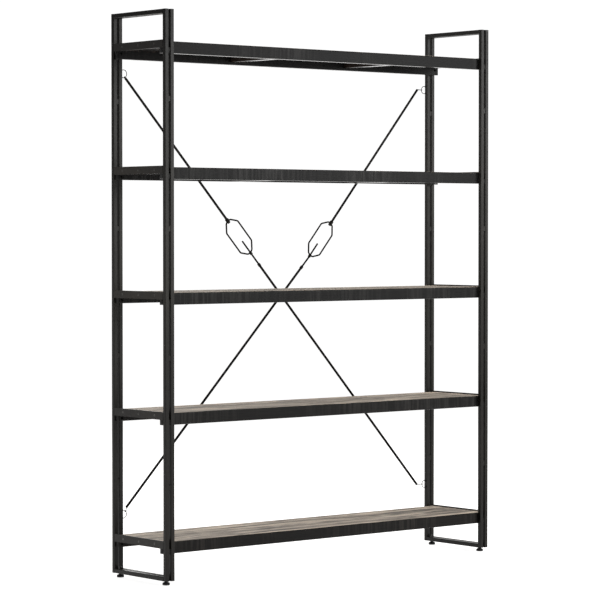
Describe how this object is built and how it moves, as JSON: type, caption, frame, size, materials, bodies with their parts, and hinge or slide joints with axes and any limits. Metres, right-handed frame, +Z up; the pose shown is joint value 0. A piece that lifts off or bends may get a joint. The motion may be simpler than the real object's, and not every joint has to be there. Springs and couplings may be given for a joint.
{
  "type": "bookcase with adjustable shelves",
  "caption": "Open bookcase: wooden shelves with dark edge rails clamped in slotted steel end frames, cross-braced at the back by rods with wire turnbuckles, on levelling feet.",
  "frame": {"origin": "on the floor, under the middle of the footprint of the two end frames", "axes": "+Z up, +X to the right along the shelves, +Y to the back where the cross brace is"},
  "size_m": [1.4, 0.2953, 1.814],
  "materials": {
    "frame_steel": "satin charcoal black paint, slightly rubbed on the corners",
    "brace_steel": "satin charcoal black paint, thin and rubbed",
    "strap_steel": "satin charcoal black paint",
    "foot_plastic": "matt black",
    "shelf_board_wood": "weathered grey-brown boards with a dry matt finish",
    "apron_wood": "charcoal black stain over saw marks, matt",
    "batten_wood": "bare wood",
    "screw_steel": "dull zinc"
  },
  "bodies": {
    "frame": {"outer_uprights": "frame_steel", "inner_uprights": "frame_steel", "top_rails": "frame_steel", "bottom_rails": "frame_steel", "tube_caps": "frame_steel", "slot_spacers": "frame_steel", "foot_bushes": "frame_steel", "brace_rings": "brace_steel", "brace_a_upper_rod": "brace_steel", "brace_a_lower_rod": "brace_steel", "brace_b_upper_rod": "brace_steel", "brace_b_lower_rod": "brace_steel"},
    "turnbuckle_a_body": {"turnbuckle_a": "brace_steel"},
    "turnbuckle_b_body": {"turnbuckle_b": "brace_steel"},
    "foot_front_left_body": {"foot_front_left": "foot_plastic"},
    "foot_front_right_body": {"foot_front_right": "foot_plastic"},
    "foot_rear_left_body": {"foot_rear_left": "foot_plastic"},
    "foot_rear_right_body": {"foot_rear_right": "foot_plastic"},
    "shelf_1": {"shelf_1_board": "shelf_board_wood", "shelf_1_front_apron": "apron_wood", "shelf_1_back_apron": "apron_wood", "shelf_1_battens": "batten_wood", "shelf_1_end_straps": "strap_steel", "shelf_1_strap_screws": "screw_steel", "shelf_1_slot_clamps": "screw_steel", "shelf_1_clamp_screws": "screw_steel"},
    "shelf_2": {"shelf_2_board": "shelf_board_wood", "shelf_2_front_apron": "apron_wood", "shelf_2_back_apron": "apron_wood", "shelf_2_battens": "batten_wood", "shelf_2_end_straps": "strap_steel", "shelf_2_strap_screws": "screw_steel", "shelf_2_slot_clamps": "screw_steel", "shelf_2_clamp_screws": "screw_steel"},
    "shelf_3": {"shelf_3_board": "shelf_board_wood", "shelf_3_front_apron": "apron_wood", "shelf_3_back_apron": "apron_wood", "shelf_3_battens": "batten_wood", "shelf_3_end_straps": "strap_steel", "shelf_3_strap_screws": "screw_steel", "shelf_3_slot_clamps": "screw_steel", "shelf_3_clamp_screws": "screw_steel"},
    "shelf_4": {"shelf_4_board": "shelf_board_wood", "shelf_4_front_apron": "apron_wood", "shelf_4_back_apron": "apron_wood", "shelf_4_battens": "batten_wood", "shelf_4_end_straps": "strap_steel", "shelf_4_strap_screws": "screw_steel", "shelf_4_slot_clamps": "screw_steel", "shelf_4_clamp_screws": "screw_steel"},
    "shelf_5": {"shelf_5_board": "shelf_board_wood", "shelf_5_front_apron": "apron_wood", "shelf_5_back_apron": "apron_wood", "shelf_5_battens": "batten_wood", "shelf_5_end_straps": "strap_steel", "shelf_5_strap_screws": "screw_steel", "shelf_5_slot_clamps": "screw_steel", "shelf_5_clamp_screws": "screw_steel"}
  },
  "joints": [
    {"name": "shelf_1_height", "type": "slide", "parent": "frame", "child": "shelf_1", "axis": [0, 0, 1], "range_m": [-0.055, 0.15]},
    {"name": "shelf_2_height", "type": "slide", "parent": "frame", "child": "shelf_2", "axis": [0, 0, 1], "range_m": [-0.15, 0.15]},
    {"name": "shelf_3_height", "type": "slide", "parent": "frame", "child": "shelf_3", "axis": [0, 0, 1], "range_m": [-0.15, 0.06]},
    {"name": "shelf_4_height", "type": "slide", "parent": "frame", "child": "shelf_4", "axis": [0, 0, 1], "range_m": [-0.1, 0.15]},
    {"name": "shelf_5_height", "type": "slide", "parent": "frame", "child": "shelf_5", "axis": [0, 0, 1], "range_m": [-0.12, 0.07]},
    {"name": "foot_front_left_screw", "type": "slide", "parent": "frame", "child": "foot_front_left_body", "axis": [0, 0, -1], "range_m": [0, 0.012]},
    {"name": "foot_front_right_screw", "type": "slide", "parent": "frame", "child": "foot_front_right_body", "axis": [0, 0, -1], "range_m": [0, 0.012]},
    {"name": "foot_rear_left_screw", "type": "slide", "parent": "frame", "child": "foot_rear_left_body", "axis": [0, 0, -1], "range_m": [0, 0.012]},
    {"name": "foot_rear_right_screw", "type": "slide", "parent": "frame", "child": "foot_rear_right_body", "axis": [0, 0, -1], "range_m": [0, 0.012]},
    {"name": "turnbuckle_a_turn", "type": "hinge", "parent": "frame", "child": "turnbuckle_a_body", "pos_m": [-0.2329, 0.1354, 1.1523], "axis": [0.6741, 0, -0.7387], "range_deg": [-270, 270]},
    {"name": "turnbuckle_b_turn", "type": "hinge", "parent": "frame", "child": "turnbuckle_b_body", "pos_m": [0.2275, 0.1438, 1.145], "axis": [-0.6477, 0, -0.7619], "range_deg": [-270, 270]}
  ]
}
